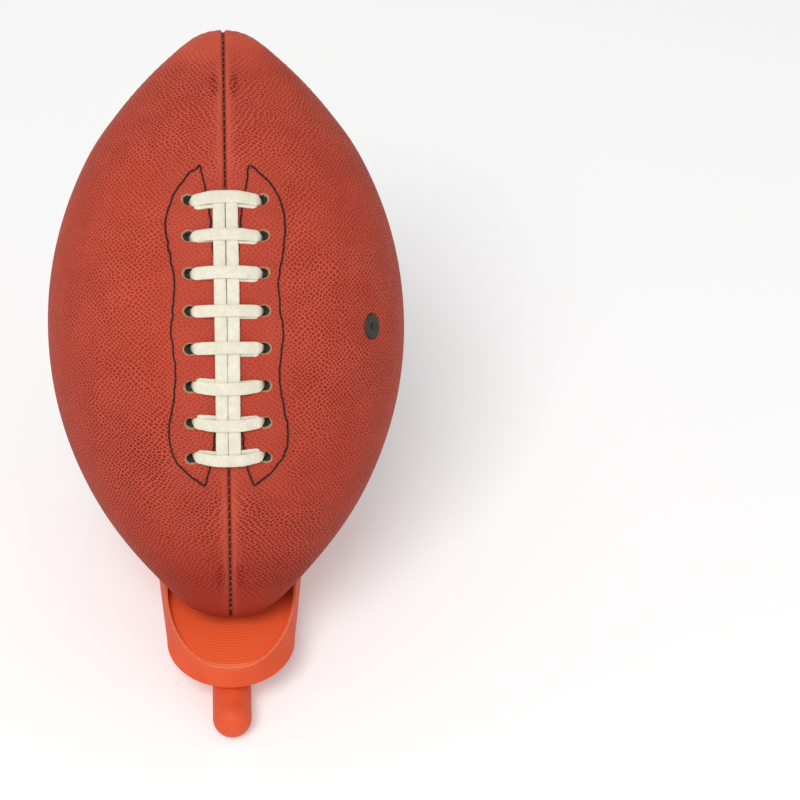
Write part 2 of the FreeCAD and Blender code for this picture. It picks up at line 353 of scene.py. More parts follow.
def leather_panel(name):
    front = name.startswith("front")
    rows = spaced(FRONT_ROWS if front else REAR_ROWS)
    tilt, turn = np.meshgrid(rows, panel_turns(name), indexing="ij")
    spot, out, gap = sewn_leather(tilt, turn)
    masks = {"hole_out": np.full_like(tilt, NO_HOLE), "plain": np.zeros_like(tilt),
             "seam": fade(gap, CREASE), "near_seam": fade(gap, ROLL), "stain": np.zeros_like(tilt)}
    if front:
        across = np.abs(spot[..., 0])
        masks["hole_out"] = hole_distance(tilt, across)
        masks["plain"] = plain_beside_lacing(tilt, across)
        if name == "front_right":
            spot = press_valve_well(spot, out, tilt, turn)
        spot = press_holes(spot, out, masks["hole_out"])
        masks["stain"] = stained(spot)
    masks.update(height_masks(spot[..., 2]))
    masks = {key: np.tile(value.ravel(), 2) for key, value in masks.items()}
    masks["hide"] = np.tile(place_on_hide(spot, tilt, turn).reshape(-1, 3), (2, 1))
    both = np.concatenate([to_row(side).reshape(-1, 3) for side in (spot, spot - out * LEATHER_THICK)])
    piece = make_piece("leather_" + name, both, sheet_faces(*tilt.shape), masks)
    return put_on_ball(piece, "panel_" + name)


panels = [leather_panel(name) for name in ("front_right", "front_left", "rear_right", "rear_left")]
print("panel points", [len(p.data.vertices) for p in panels])

# %% [markdown]
# ## Thread, as short tubes
# Waxed thread is round, and each stitch ends where the thread dives into a needle hole. A bevelled curve
# for each stitch would make hundreds of objects. One mesh of many short tubes with rounded ends looks the
# same and stays one piece.

# %% Thread tubes
THREAD_SIDES = 6
ASKEW = np.array([0.31, 0.87, 0.38])  # a way that no thread runs along


def thread_tubes(paths, radius):
    """Tubes with rounded ends along many short paths, as one list of points and faces."""
    points, faces = [], []
    turn = np.linspace(0, 2 * math.pi, THREAD_SIDES, endpoint=False)[:, None]
    for path in paths:
        way = np.gradient(path, axis=0)
        way /= np.linalg.norm(way, axis=1)[:, None]
        side = np.cross(way, ASKEW)
        side /= np.linalg.norm(side, axis=1)[:, None]
        up = np.cross(way, side)
        along = np.linspace(-1, 1, len(path))
        taper = radius * np.sqrt(np.clip(1 - np.abs(along) ** 6, 0.02, 1))
        start = len(points)
        for i in range(len(path)):
            points.extend(path[i] + taper[i] * (np.cos(turn) * side[i] + np.sin(turn) * up[i]))
        faces += grid_faces(len(path), THREAD_SIDES, True, start)
        faces.append(tuple(range(start + THREAD_SIDES - 1, start - 1, -1)))
        faces.append(tuple(range(len(points) - THREAD_SIDES, len(points))))
    return points, faces


print("sides of a thread", THREAD_SIDES)

# %% [markdown]
# ## Seam stitches
# The panels are sewn inside out, so of the seam thread only a short stitch shows at every pucker, deep in
# the groove. A dark dashed line in the material could hint at it. Real little tubes catch the light
# instead, and they follow the groove because their ends are taken from the same sewn leather.

# %% Seam stitches
STITCH_REACH, STITCH_SLANT, STITCH_LIFT = 0.85, 0.9, 0.1
SEAM_THREAD_RADIUS = 0.00033  # metres
SEWN_TILT = 0.95  # the stitching shows up to here
LACING_TILT = bar_tilt(0) + 0.04


def stitch(middle, turn):
    """One stitch across a seam, a little aslant."""
    radius = float(meridian(SEAM_ARC, np.asarray(middle))[0])
    reach = STITCH_REACH / max(radius, 6.0)
    tilt = middle + np.array([-0.5, 0.5]) * STITCH_SLANT / SEAM_ARC
    ends, out, gap = sewn_leather(tilt, np.array([turn - reach, turn + reach]))
    t = np.linspace(0, 1, 6)[:, None]
    return to_row(ends[0] * (1 - t) + ends[1] * t + out[0] * STITCH_LIFT)


def seam_stitches(name, turn, spans):
    paths = []
    for low, high in spans:
        count = int((high - low) * SEAM_ARC / STITCH_PITCH)
        paths += [stitch(middle, turn) for middle in np.linspace(low, high, count)]
    piece = make_piece("stitches_" + name, *thread_tubes(paths, SEAM_THREAD_RADIUS))
    return put_on_ball(piece, "seam_thread_" + name)


threads = [seam_stitches("front", 0.0, [(-SEWN_TILT, -LACING_TILT), (LACING_TILT, SEWN_TILT)])]
for name, turn in (("right", QUARTER), ("rear", math.pi), ("left", -QUARTER)):
    threads.append(seam_stitches(name, turn, [(-SEWN_TILT, SEWN_TILT)]))
print("seams", len(threads))

# %% [markdown]
# ## Lace, as a strap
# Lace is a flat strip of coated leather with soft, rounded edges. A curve with a bevel could sweep it,
# but would not narrow it along its way. So a ring of points, a rounded rectangle, is set at every step of
# a path. A slight ripple in the width keeps it from looking machined.

# %% Lace strap
STRAP_SIDES = 20
EDGE_ROUND, FACE_ROUND = 0.35, 0.62  # lower is squarer
RING = np.linspace(0, 2 * math.pi, STRAP_SIDES, endpoint=False)
STRAP_X = np.sign(np.cos(RING)) * np.abs(np.cos(RING)) ** EDGE_ROUND
STRAP_Y = np.sign(np.sin(RING)) * np.abs(np.sin(RING)) ** FACE_ROUND
STRAP_CROWN = 0.12 * (STRAP_X ** 2 - 0.5)


def strap(points, ways, outs, slim, width, thick, ripple, seed):
    """A flat strap along a path. slim is its share of the full width, along the path."""
    rng = np.random.default_rng(seed)
    count = len(points)
    side = np.cross(ways, outs)
    side /= np.linalg.norm(side, axis=1)[:, None]
    up = np.cross(side, ways)
    up /= np.linalg.norm(up, axis=1)[:, None]
    t = np.linspace(0, 1, count)
    uneven = np.sin(t * 9 + rng.uniform(0, 6)) + 0.6 * np.sin(t * 21 + rng.uniform(0, 6))
    wide = slim * (1 + ripple * uneven)
    y = (STRAP_Y / 2 - STRAP_CROWN) * thick
    rings = [points[i] + (STRAP_X * width / 2 * wide[i])[:, None] * side[i] + y[:, None] * up[i]
             for i in range(count)]
    faces = grid_faces(count, STRAP_SIDES, True)
    faces.append(tuple(range(STRAP_SIDES - 1, -1, -1)))
    faces.append(tuple(range((count - 1) * STRAP_SIDES, count * STRAP_SIDES)))
    return np.concatenate(rings), faces


def lace_frame(tilt):
    """A point on the laced seam before it is sewn, with the ways along it and out of it."""
    spot = np.array([0, SEAM_ARC - HALF_WIDTH - SEAM_ARC * math.cos(tilt), SEAM_ARC * math.sin(tilt)])
    along = np.array([0, math.sin(tilt), math.cos(tilt)])
    out = np.array([0, -math.cos(tilt), math.sin(tilt)])
    return spot, along, out


print("points round a strap", STRAP_SIDES)

# %% [markdown]
# ## The way of a cross bar
# A bar climbs out of one hole, bows over the two long laces and dives into the hole across, and it
# narrows where it is pulled into the holes. A cloth simulation could find that line, slowly. Soft steps
# along the bar do it directly: high in the middle, lower towards the holes, and a steep dive at the end.

# %% Bar path
HOLE_HIGH, DIVE = 0.85, 5.0  # over the leather just before a hole, and down into it
PULLED_NARROW = 0.42
BAR_STEPS = 44


def bar_path(number, start, end, high, drop, bow, shift, span):
    """A path across the seam: hole to hole, or from the long laces to a hole."""
    spot, along, out = lace_frame(bar_tilt(number))
    x = np.linspace(start, end, BAR_STEPS)
    reach = np.abs(x) / span
    sag = x ** 2 / (2 * HALF_WIDTH)
    height = high + (HOLE_HIGH - high) * smoothstep(0.34, 0.92, reach)
    height = height - DIVE * smoothstep(0.86, 1.0, reach) ** 2 - sag - drop
    lean = bow * (1 - reach ** 2) + shift
    points = spot + x[:, None] * ACROSS + lean[:, None] * along + height[:, None] * out
    ways = np.gradient(points, axis=0)
    ways /= np.linalg.norm(ways, axis=1)[:, None]
    slim = 1 - PULLED_NARROW * smoothstep(0.8, 1.0, reach) ** 1.5
    return points, ways, np.tile(out, (BAR_STEPS, 1)), slim


print("steps along a bar", BAR_STEPS)

# %% [markdown]
# ## Cross bars of the lacing
# The same lace passes twice through each pair of holes, so a second strand lies under every bar and shows
# as a sliver beside it. Copies of one bar would look stamped. Each bar therefore gets its own small
# shifts, from a random generator with a fixed seed, so that every run is the same.

# %% Cross bars
BAR_REACH, UNDER_REACH, UNDER_FROM = 15.9, 14.9, 5.0  # from the seam to the ends of each strand
BAR_HIGH, UNDER_HIGH, UNDER_DROP = 2.75, 1.2, 0.75  # over the leather, at the long laces
BAR_WIDE, BAR_THICK = 5.7, 1.5
UNDER_WIDE, UNDER_THICK = 4.9, 1.2
LACE_RIPPLE = 0.012
UPPER_BARS = 5  # these bow upwards and the rest downwards
BAR_SEED, UNDER_SEED = 40, 90


def bar_bow(number):
    if number >= UPPER_BARS:
        return -1.0
    return 0.9 if number in (0, UPPER_BARS - 1) else 0.25


def under_shift(number, side):
    """How far the second strand slips out from under its bar."""
    upper = number < UPPER_BARS
    shown = side == (1 if upper else -1) or number in (0, BAR_COUNT - 1)
    return (-1.25 if upper else 1.2) * (1.0 if shown else 0.25)


def cross_bar(number):
    rng = np.random.default_rng(BAR_SEED + number)
    bow = bar_bow(number) + rng.uniform(-0.2, 0.2)
    path = bar_path(number, -BAR_REACH, BAR_REACH, BAR_HIGH, 0.0, bow, rng.uniform(-0.2, 0.2), BAR_REACH)
    points, faces = strap(*path, BAR_WIDE + rng.uniform(-0.2, 0.3), BAR_THICK, LACE_RIPPLE, number)
    for side in (-1, 1):
        shift = under_shift(number, side) + rng.uniform(-0.3, 0.25)
        path = bar_path(number, side * UNDER_FROM, side * UNDER_REACH, UNDER_HIGH, UNDER_DROP,
                        bow * 0.5, shift, UNDER_REACH)
        under, under_faces = strap(*path, UNDER_WIDE, UNDER_THICK, LACE_RIPPLE, UNDER_SEED + number)
        faces += [tuple(len(points) + v for v in face) for face in under_faces]
        points = np.concatenate([points, under])
    piece = make_piece("lace_over_%d" % (number + 1), to_row(points), faces)
    return put_on_ball(piece, "lace_bar_%d" % (number + 1))


laces = [cross_bar(number) for number in range(BAR_COUNT)]
print("cross bars", len(laces))

# %% [markdown]
# ## The two long laces
# Two straps run side by side down the seam, under all the bars. They could be plain strips, but each bar
# presses them down and they rise a little between bars. A cosine along the seam gives that soft wave.

# %% Long laces
LONG_STEPS = 150
LONG_ASIDE, LONG_HIGH, LONG_RISE = 2.85, 1.25, 0.22
LONG_WIDE, LONG_THICK, LONG_RIPPLE = 5.55, 1.3, 0.008
PAST_LAST_BAR, LONG_SEED = 0.006, 7


def long_lace(side, name):
    end = bar_tilt(0) + PAST_LAST_BAR
    points, ways, outs = [], [], []
    for tilt in np.linspace(-end, end, LONG_STEPS):
        spot, along, out = lace_frame(tilt)
        high = LONG_HIGH + LONG_RISE * math.cos(2 * math.pi * (tilt / BAR_PITCH + 0.5))
        aside = side * (LONG_ASIDE + 0.10 * math.sin(9 * tilt + side))
        points.append(spot + out * high + aside * ACROSS)
        ways.append(along)
        outs.append(out)
    path = (np.array(points), np.array(ways), np.array(outs), np.ones(LONG_STEPS))
    lace_points, faces = strap(*path, LONG_WIDE, LONG_THICK, LONG_RIPPLE, LONG_SEED + side)
    piece = make_piece("lace_run_" + name, to_row(lace_points), faces)
    return put_on_ball(piece, "lace_long_" + name)


laces += [long_lace(-1, "left"), long_lace(1, "right")]
print("lace pieces", len(laces))

# %% [markdown]
# ## The line round a backing patch
# A patch is sewn behind each row of holes, and its outline shows on the front: bowed sides with a waist, and
# a point above and below. A curve object could hold that line, but the stitches need points at an even step.
# So a smooth curve is worked out here through a few points that were judged.

# %% Patch line
# Millimetres across from the laced seam and along it from the middle of the lacing.
PATCH_OUTER = [(11.3, 76), (18.5, 68.5), (24.5, 58.5), (27.3, 47), (26, 36), (23.6, 22), (24.3, 9),
               (25.4, 0), (24.4, -10), (23.4, -21), (25.6, -36), (27.4, -47), (25, -58), (18, -67),
               (11, -73)]
PATCH_INNER = [(11.3, 76), (9.2, 66), (7.6, 56), (6.5, 46), (5.0, 30), (4.8, 0), (5.0, -34), (6.4, -50),
               (8.2, -62), (11, -73)]
OUTLINE_STEP, CURVE_STEPS = 0.6, 24


def smooth_line(points):
    """A smooth curve through points, at an even step."""
    points = np.asarray(points, dtype=float)
    padded = np.concatenate([[2 * points[0] - points[1]], points, [2 * points[-1] - points[-2]]])
    curve = []
    for i in range(1, len(padded) - 2):
        a, b, c, d = padded[i - 1:i + 3]
        for t in np.linspace(0, 1, CURVE_STEPS, endpoint=False):
            square = (2 * a - 5 * b + 4 * c - d) * t ** 2
            curve.append(0.5 * (2 * b + (c - a) * t + square + (3 * b - a - 3 * c + d) * t ** 3))
    curve = np.array(curve + [points[-1]])
    length = np.concatenate([[0], np.cumsum(np.linalg.norm(np.diff(curve, axis=0), axis=1))])
    even = np.arange(0, length[-1], OUTLINE_STEP)
    return np.stack([np.interp(even, length, curve[:, k]) for k in (0, 1)], axis=1)


print("points on the outer line", len(smooth_line(PATCH_OUTER)))

# %% [markdown]
# ## Sewn outlines of the backing patches
# The black thread round each patch could be a dark line in the material, but thread stands proud of the
# leather and dips at every needle hole. So short overlapping tubes follow the line, and each stitch
# strays a little from it, as a sewing machine's stitches do in thick leather.

# %% Sewn outlines
STITCH_POINTS, STITCH_OVERLAP = 5, 2
STITCH_STRAY, STRAY_SEED = 0.22, 5
OUTLINE_LIFT, OUTLINE_DIP = 0.26, 0.09
OUTLINE_RADIUS = 0.00043  # metres


def on_leather(across, along, lift):
    tilt = along / SEAM_ARC
    radius = meridian(SEAM_ARC, np.asarray(tilt))[0]
    spot, out, gap = smooth_ball(tilt, across / radius)
    return spot + out * lift


def outline_stitches(line, side, rng):
    knots = np.arange(0, len(line) + STITCH_POINTS, STITCH_POINTS)
    for k in (0, 1):
        line[:, k] += np.interp(np.arange(len(line)), knots, rng.normal(0, STITCH_STRAY, len(knots)))
    paths = []
    for begin in range(0, len(line) - 2, STITCH_POINTS):
        part = line[begin:begin + STITCH_POINTS + STITCH_OVERLAP]
        lift = OUTLINE_LIFT - OUTLINE_DIP * np.abs(np.linspace(-1, 1, len(part))) ** 2
        paths.append(to_row([on_leather(side * a, b, h) for (a, b), h in zip(part, lift)]))
    return paths


def sewn_outline(side, name):
    rng = np.random.default_rng(STRAY_SEED + side)
    paths = []
    for points in (PATCH_OUTER, PATCH_INNER):
        paths += outline_stitches(smooth_line(points), side, rng)
    piece = make_piece("sewn_outline_" + name, *thread_tubes(paths, OUTLINE_RADIUS))
    return put_on_ball(piece)


outlines = [sewn_outline(-1, "left"), sewn_outline(1, "right")]
print("outline faces", [len(piece.data.polygons) for piece in outlines])

# %% [markdown]
# ## Valve
# The valve is a rubber plug, almost level with the leather, with a puckered dimple for the pump's needle.
# A Screw modifier could spin its outline. Rings of points do the same with no modifier to apply.

# %% Valve
# Radius and height over the leather, from the bottom of the dimple out to the edge and down its side.
VALVE_OUTLINE = [(0.0, -2.6), (0.7, -1.9), (1.4, -0.95), (2.0, -0.3), (2.5, -0.02), (3.2, 0.05),
                 (4.3, 0.0), (5.1, -0.1), (5.6, -0.3), (5.75, -0.7), (5.75, -2.4)]
VALVE_SIDES = 48
valve_out = np.array([math.cos(VALVE_TURN - QUARTER), math.sin(VALVE_TURN - QUARTER), 0])
valve_aside = np.array([-valve_out[1], valve_out[0], 0])
valve_up = np.array([0, 0, 1.0])
ring = np.linspace(0, 2 * math.pi, VALVE_SIDES, endpoint=False)[:, None]
valve_round = np.cos(ring) * valve_aside + np.sin(ring) * valve_up
valve_rings = [valve_out * (HALF_WIDTH + height) + radius * valve_round for radius, height in VALVE_OUTLINE]
valve = make_piece("valve_plug", to_row(np.concatenate(valve_rings)),
                   grid_faces(len(VALVE_OUTLINE), VALVE_SIDES, True))
put_on_ball(valve, "valve")
print("valve points", len(valve.data.vertices))

# %% [markdown]
# ## Wiring nodes in code
# A material is a small network of nodes. It can be drawn by hand in the Shader Editor, but a script has
# to wire every node. These helpers each add one and give back its output, so that a material reads like a
# recipe.

# %% Node helpers
def wire(tree, socket, value):
    """Link a socket to another one, or set it to a plain value."""
    if isinstance(value, bpy.types.NodeSocket):
        tree.links.new(value, socket)
    else:
        socket.default_value = value


def add(tree, kind, settings=None, **inputs):
    """A node with its settings and inputs. An input is named, with _ for a space, or numbered: i0, i1."""
    node = tree.nodes.new(kind)
    for key, value in (settings or {}).items():
        setattr(node, key, value)
    for key, value in inputs.items():
        numbered = key[0] == "i" and key[1:].isdigit()
        wire(tree, node.inputs[int(key[1:]) if numbered else key.replace("_", " ")], value)
    return node


def maths(tree, operation, first, second=0.0, clamp=False):
    settings = {"operation": operation, "use_clamp": clamp}
    return add(tree, "ShaderNodeMath", settings, i0=first, i1=second).outputs[0]


def times(tree, first, second):
    return maths(tree, "MULTIPLY", first, second)


def ramp(tree, value, low, high, start=0.0, end=1.0):
    """A soft step from start to end while the value goes from low to high."""
    node = add(tree, "ShaderNodeMapRange", {"interpolation_type": "SMOOTHSTEP"}, Value=value,
               From_Min=low, From_Max=high, To_Min=start, To_Max=end)
    return node.outputs["Result"]


def mix_colour(tree, share, first, second):
    """Two colours, as sockets or as (red, green, blue) in linear light."""
    first, second = [(*c, 1) if isinstance(c, tuple) else c for c in (first, second)]
    return add(tree, "ShaderNodeMix", {"data_type": "RGBA"}, i0=share, i6=first, i7=second).outputs[2]


def noise(tree, place, scale, **more):
    return add(tree, "ShaderNodeTexNoise", Vector=place, Scale=scale, **more).outputs["Fac"]


def object_place(tree):
    return add(tree, "ShaderNodeTexCoord").outputs["Object"]


print("node helpers ready")

# %% [markdown]
# ## Pebble grain, as a node group
# Football leather is pressed with a grain of small pebbles. A noise texture is too soft for it. A texture
# of cells gives the distance to each cell's edge, and so a clear border round every pebble. A slow noise
# bends the pattern first, so that it never looks like a net. A node group keeps the recipe in one place.

# %% Pebble grain
GRAIN_BEND_SCALE, GRAIN_BEND = 0.05, 6.0
GRAIN_UNEVEN = 0.6
PIT_FROM, PIT_TO = 0.07, 0.31


def new_group(name, inputs, outputs):
    """An empty node group whose inputs have default values; None is for a place."""
    group = bpy.data.node_groups.new(name, "ShaderNodeTree")
    for label, value in inputs.items():
        kind = "NodeSocketVector" if value is None else "NodeSocketFloat"
        socket = group.interface.new_socket(label, in_out="INPUT", socket_type=kind)
        if value is not None:
            socket.default_value = value
    for label in outputs:
        group.interface.new_socket(label, in_out="OUTPUT", socket_type="NodeSocketFloat")
    return group, group.nodes.new("NodeGroupInput").outputs, group.nodes.new("NodeGroupOutput").inputs


grain, given, result = new_group("pebble_grain", {"Vector": None, "Pitch": 0.45}, ("Pit", "Height"))
slow = add(grain, "ShaderNodeTexNoise", Vector=given["Vector"], Scale=GRAIN_BEND_SCALE, Detail=2.0)
bend = add(grain, "ShaderNodeVectorMath", {"operation": "SCALE"}, i0=slow.outputs["Color"], Scale=GRAIN_BEND)
bent = add(grain, "ShaderNodeVectorMath", {"operation": "ADD"}, i0=given["Vector"], i1=bend.outputs[0])
pebble = add(grain, "ShaderNodeTexVoronoi", {"feature": "DISTANCE_TO_EDGE", "voronoi_dimensions": "2D"},
             Vector=bent.outputs[0], Scale=given["Pitch"], Randomness=GRAIN_UNEVEN)
pit = ramp(grain, pebble.outputs["Distance"], PIT_FROM, PIT_TO)
wire(grain, result["Pit"], pit)
wire(grain, result["Height"], maths(grain, "SUBTRACT", 1.0, pit))
print("group", grain.name, "nodes", len(grain.nodes))

# %% [markdown]
# ## Mottle, as a node group
# Dye, dirt and handling leave soft patches on leather, lace and plastic alike. Each material could have
# its own clouds. One group with its scale as an input serves all three, and each asks for patches of its
# own size.

# %% Mottle
mottle, given, result = new_group("mottle", {"Vector": None, "Scale": 20.0}, ("Value",))
cloud = noise(mottle, given["Vector"], given["Scale"], Detail=6.0, Roughness=0.6)
wire(mottle, result["Value"], ramp(mottle, cloud, 0.3, 0.7))


def use_group(tree, group, **inputs):
    node = tree.nodes.new("ShaderNodeGroup")
    node.node_tree = group
    for key, value in inputs.items():
        wire(tree, node.inputs[key], value)
    return node.outputs


print("groups", [group.name for group in bpy.data.node_groups])

# %% [markdown]
# ## Starting a material
# All finishes start from a Principled shader. Its plain values are set on its own sockets, where a reader
# looks for them, and the networks below are wired over them. Colours are in linear light.

# %% Material helpers
def new_material(name, colour, rough, **sockets):
    material = bpy.data.materials.new(name)
    material.use_nodes = True
    tree = material.node_tree
    shader = tree.nodes["Principled BSDF"]
    shader.inputs["Base Color"].default_value = (*colour, 1)
    shader.inputs["Roughness"].default_value = rough
    for key, value in sockets.items():
        shader.inputs[key.replace("_", " ")].default_value = value
    return material, tree, shader


def dye(tree, tone, colour, mask, share=1.0):
    """Lay a colour over a tone where the mask is, up to a share."""
    return mix_colour(tree, mask if share == 1.0 else times(tree, mask, share), tone, colour)


def bump(tree, shader, height, distance):
    """Fine relief in the shading only, in metres, for what is too small to model."""
    wire(tree, shader.inputs["Normal"],
         add(tree, "ShaderNodeBump", Height=height, Distance=distance, Strength=1.0).outputs[0])


def dress(pieces, material):
    for piece in pieces:
        piece.data.materials.clear()
        piece.data.materials.append(material)


print("material helpers ready")

# %% [markdown]
# ## Leather: where the grain shows
# The pebbles are deep on the sides of the ball, faint beside the lacing, and nearly pressed flat along
# the seams and at the tips. One even grain would look like wrapping paper, so the masks quieten it and
# slow clouds wear it. It lies on the hide's own flat measure, and so keeps its size towards the tips.

# %% Leather grain
PEBBLE_PITCH = 0.56  # pebbles per millimetre
PEBBLE_STRETCH = (0.9, 1.08, 1.0)
PEBBLE_TURN = math.radians(45.0)
QUIET = {"plain": 0.42, "low": 0.1, "tip": 0.8, "near_seam": 0.8}  # how far each place hides the grain

leather, tree, shader = new_material("leather", (0.50, 0.075, 0.04), 0.55, Specular_IOR_Level=0.06)
mask = {key: add(tree, "ShaderNodeAttribute", {"attribute_name": key}).outputs["Fac"]
        for key in ("plain", "low", "tip", "near_seam", "under", "seam", "stain", "hole_out")}
hide = add(tree, "ShaderNodeAttribute", {"attribute_name": "hide"}).outputs["Vector"]
laid = add(tree, "ShaderNodeMapping", Vector=hide, Rotation=(0.0, 0.0, PEBBLE_TURN), Scale=PEBBLE_STRETCH)
pebbles = use_group(tree, grain, Vector=laid.outputs[0], Pitch=PEBBLE_PITCH)
spot = object_place(tree)
clouds = use_group(tree, mottle, Vector=spot, Scale=14.0)[0]
patches = use_group(tree, mottle, Vector=spot, Scale=55.0)[0]
quiet = 0.0
for key, share in QUIET.items():
    quiet = maths(tree, "MAXIMUM", quiet, times(tree, mask[key], share))
worn = times(tree, maths(tree, "SUBTRACT", 1.0, quiet), ramp(tree, clouds, 0.0, 1.0, 0.7, 1.0))
pits = times(tree, pebbles["Pit"], worn)
print("leather grain nodes", len(tree.nodes))

# %% [markdown]
# ## Leather: its colours
# The hide is dyed a brick red that is never even: paler where it is handled, deeper in the pits, almost
# black in the seams. Shade is painted in too: darker towards the lower tip and over the underside, darker
# beside the lacing, partly as shade from the laces, and near black on the floor of each lace hole. One
# colour with a little noise would look like
# plastic. Here each cause is its own layer, laid over the last one by its mask.

# %% Leather colours
RED, WORN_RED, DEEP_RED = (0.59, 0.080, 0.044), (0.70, 0.122, 0.074), (0.44, 0.054, 0.028)
# Painted shade: the underside, the lower tip and the pits there are painted darker.
UNDERSIDE_SHADE_RED, LOWER_TIP_SHADE_RED, PLAIN_AND_SHADED_RED = (0.34, 0.030, 0.014), (0.31, 0.028, 0.013), (0.43, 0.064, 0.042)
PIT_RED, UNDERSIDE_PIT_SHADE_RED = (0.35, 0.026, 0.012), (0.19, 0.011, 0.006)
ROLLED_RED, SEAM_DARK, STAIN_RED = (0.66, 0.125, 0.078), (0.060, 0.008, 0.005), (0.20, 0.010, 0.006)
# RAW_RIM is the cut leather's own colour; the hole's floor colour is painted shade.
RAW_RIM, HOLE_FLOOR_SHADE = (0.47, 0.29, 0.16), (0.058, 0.052, 0.046)

tone = mix_colour(tree, clouds, RED, WORN_RED)
tone = dye(tree, tone, DEEP_RED, patches, 0.4)
# Painted shade: the underside is painted darker, and the lower tip darker still.
tone = dye(tree, tone, UNDERSIDE_SHADE_RED, mask["under"], 0.22)
tone = dye(tree, tone, LOWER_TIP_SHADE_RED, mask["low"], 0.8)
# The plain hide beside the lacing is smoother and duller, and its darker red is partly painted shade from
# the laces.
tone = dye(tree, tone, PLAIN_AND_SHADED_RED, mask["plain"], 0.45)
tone = dye(tree, tone, mix_colour(tree, mask["under"], PIT_RED, UNDERSIDE_PIT_SHADE_RED), pits, 0.95)
tone = dye(tree, tone, ROLLED_RED, mask["near_seam"], 0.3)
tone = dye(tree, tone, SEAM_DARK, mask["seam"])
blot = times(tree, mask["stain"], ramp(tree, pebbles["Pit"], 0.0, 0.8, 0.15, 0.85))
tone = dye(tree, tone, STAIN_RED, blot)
# A raw rim round each lace hole, and painted shade on the pit's floor.
frayed_rim_and_shade = maths(tree, "ADD", mask["hole_out"], times(tree, patches, 0.08))
tone = dye(tree, tone, RAW_RIM, ramp(tree, frayed_rim_and_shade, 1.32, 1.22))
tone = dye(tree, tone, HOLE_FLOOR_SHADE, ramp(tree, frayed_rim_and_shade, 1.10, 1.04))
wire(tree, shader.inputs["Base Color"], tone)
print("leather nodes with colours", len(tree.nodes))

# %% [markdown]
# ## Leather: its relief
# Pebbles stand less than half a millimetre proud, too little to be worth millions of faces. A bump from
# the same cells that gave the colour keeps the light and the dye in step. A very fine noise adds the
# pores of the skin.

# %% Leather relief
PORE_SCALE, PORE_SHARE = 900.0, 0.16
PEBBLE_HIGH = 0.00042  # metres

pores = noise(tree, spot, PORE_SCALE, Detail=3.0)
relief = maths(tree, "ADD", times(tree, pebbles["Height"], worn), times(tree, pores, PORE_SHARE))
bump(tree, shader, relief, PEBBLE_HIGH)
dress(panels, leather)
print("leather nodes", len(tree.nodes))

# %% [markdown]
# ## Lace finish
# The lace is white, coated leather that has yellowed a little and holds grime in its pores. Pure white
# would glare and hide its form. Two sizes of mottle give a cream with small darker specks, and the finer
# one is also its bump.

# %% Lace finish
lace, tree, shader = new_material("lace", (0.84, 0.80, 0.66), 0.6, Specular_IOR_Level=0.25)
spot = object_place(tree)
yellowed = use_group(tree, mottle, Vector=spot, Scale=260.0)[0]
grime = use_group(tree, mottle, Vector=spot, Scale=900.0)[0]
tone = mix_colour(tree, yellowed, (0.86, 0.83, 0.69), (0.78, 0.73, 0.57))
wire(tree, shader.inputs["Base Color"], dye(tree, tone, (0.60, 0.55, 0.44), grime, 0.25))
bump(tree, shader, grime, 0.00016)
dress(laces, lace)
print("lace nodes", len(tree.nodes))

# %% [markdown]
# ## Thread and rubber
# Waxed thread and rubber are both dull, and both vary only in small specks: the turns of the yarn, or
# dust. A woven pattern would be finer than a pixel. So one recipe, two colours mixed by a fine noise,
# serves the brown seam thread, the black outline thread and the rubber of the valve.

# %% Thread and rubber
def speckled(name, colour, rough, shine, scale, dark, pale, **more):
    material, tree, shader = new_material(name, colour, rough, Specular_IOR_Level=shine)
    specks = noise(tree, object_place(tree), scale, **more)
    wire(tree, shader.inputs["Base Color"], mix_colour(tree, specks, dark, pale))
    return material, tree, shader, specks


seam_thread = speckled("seam_thread", (0.30, 0.13, 0.07), 0.7, 0.15, 2200.0,
                       (0.08, 0.03, 0.017), (0.36, 0.19, 0.10))[0]
black_thread = speckled("black_thread", (0.014, 0.012, 0.011), 0.7, 0.1, 2600.0,
                        (0.008, 0.007, 0.007), (0.035, 0.03, 0.028))[0]
rubber, tree, shader, dust = speckled("rubber", (0.02, 0.02, 0.02), 0.6, 0.25, 1300.0,
                                      (0.014, 0.012, 0.010), (0.064, 0.056, 0.042), Detail=4.0)
bump(tree, shader, dust, 0.0001)
dress(threads, seam_thread)
dress(outlines, black_thread)
dress([valve], rubber)
print("fine finishes", [m.name for m in (seam_thread, black_thread, rubber)])

# %% [markdown]
# ## Printed plastic
# The stand is printed in orange plastic, layer on layer, and its solids already have the right shape, the
# steps of the dish among them. A flat orange would lose those steps. The plastic gets faint clouds, pale
# specks and a bump of thin layers.

# %% Printed plastic
LAYER = 0.0003  # metres from one printed layer to the next
printed, tree, shader = new_material("printed_plastic", (0.76, 0.095, 0.03), 0.5, Specular_IOR_Level=0.22)
spot = object_place(tree)
specks = noise(tree, spot, 1500.0, Detail=3.0)
tone = mix_colour(tree, use_group(tree, mottle, Vector=spot, Scale=40.0)[0],
                  (0.80, 0.105, 0.034), (0.72, 0.082, 0.024))
tone = dye(tree, tone, (0.95, 0.28, 0.14), ramp(tree, specks, 0.56, 0.75, 0.0, 0.3))
place = add(tree, "ShaderNodeSeparateXYZ", Vector=spot).outputs
layers = maths(tree, "SINE", times(tree, place["Z"], 2 * math.pi / LAYER))
bump(tree, shader, maths(tree, "ADD", times(tree, layers, 0.25), specks), 0.00006)
print("plastic nodes", len(tree.nodes))

# %% [markdown]
# ## The steps of the dish
# Light and shade are painted on the steps: the treads are painted lighter, the rim gets a painted highlight,
# and a line of painted shade lies in each inner corner. Lighting alone would show this slowly. The steps are
# arcs at an even distance, so the material works out how far behind its arc each point lies and colours the
# treads by that.

